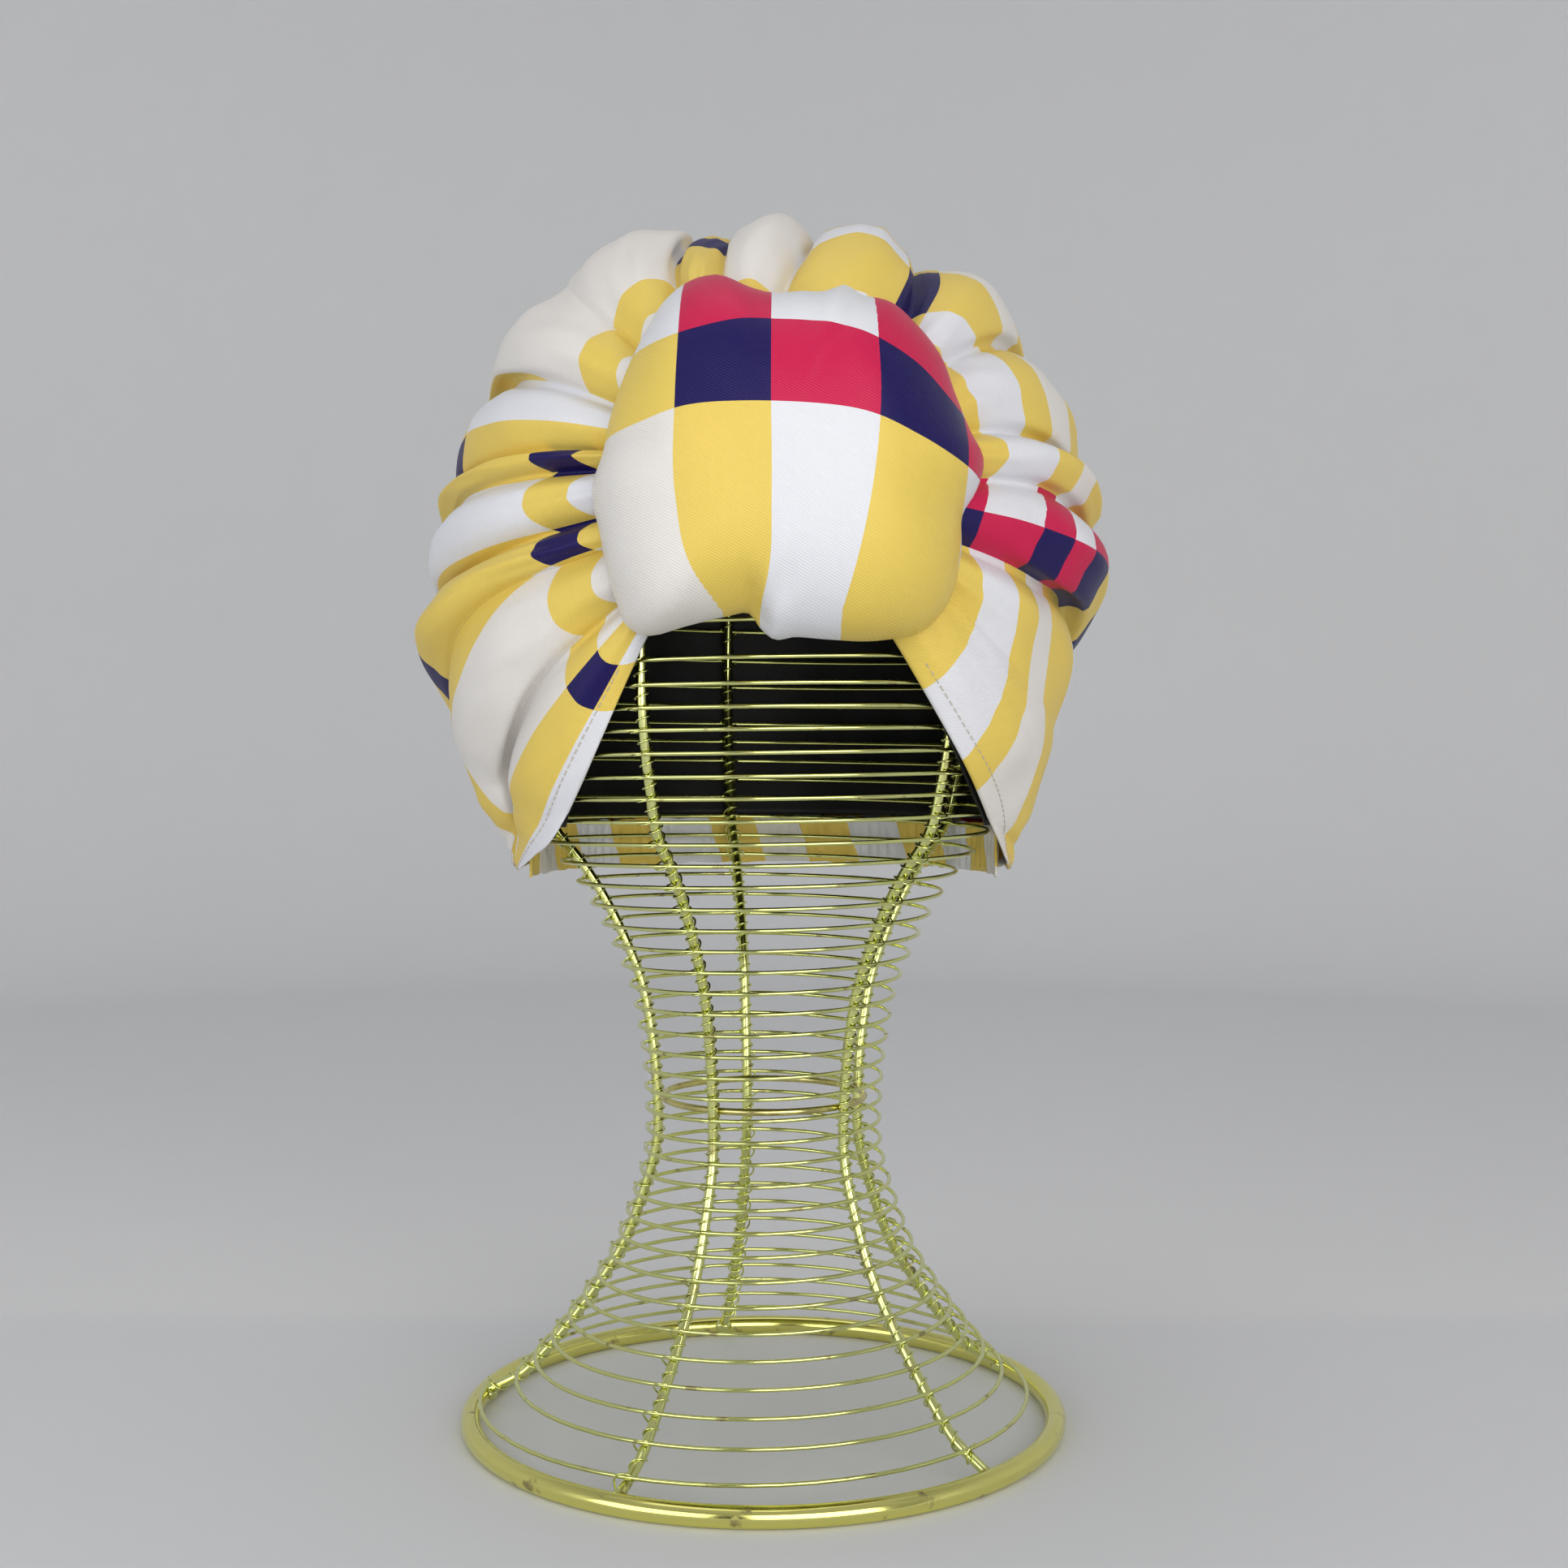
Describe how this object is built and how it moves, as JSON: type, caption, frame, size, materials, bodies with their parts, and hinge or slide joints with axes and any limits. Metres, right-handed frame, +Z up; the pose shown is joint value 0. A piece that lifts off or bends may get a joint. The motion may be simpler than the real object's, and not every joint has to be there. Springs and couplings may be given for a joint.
{
  "type": "turban headwrap on a wire display stand",
  "caption": "Gathered twill turban with a puffed front loop and lined crown, on a flared stand of coiled wire hoops.",
  "frame": {"origin": "centre of the base ring on the surface that the stand rests on", "axes": "+Z up, the front of the headwrap towards -Y, +X to the right as the front is looked at"},
  "size_m": [0.2044, 0.2234, 0.3579],
  "materials": {
    "gold_wire": "polished, greenish light gold plating",
    "printed_twill": "silk twill with a satin sheen, printed with a yellow, white, cream, navy and crimson check",
    "black_lining": "black satin"
  },
  "bodies": {
    "root": {"base_ring": "gold_wire", "rib_1": "gold_wire", "rib_2": "gold_wire", "rib_3": "gold_wire", "rib_4": "gold_wire", "rib_5": "gold_wire", "neck_ring": "gold_wire", "top_hub": "gold_wire", "coil_1": "gold_wire", "coil_2": "gold_wire", "coil_3": "gold_wire", "coil_4": "gold_wire", "coil_5": "gold_wire", "coil_6": "gold_wire", "coil_7": "gold_wire", "coil_8": "gold_wire", "coil_9": "gold_wire", "coil_10": "gold_wire", "coil_11": "gold_wire", "coil_12": "gold_wire", "crown_drape": "printed_twill", "front_loop": "printed_twill", "nape_band": "printed_twill", "lining": "black_lining"}
  },
  "joints": []
}
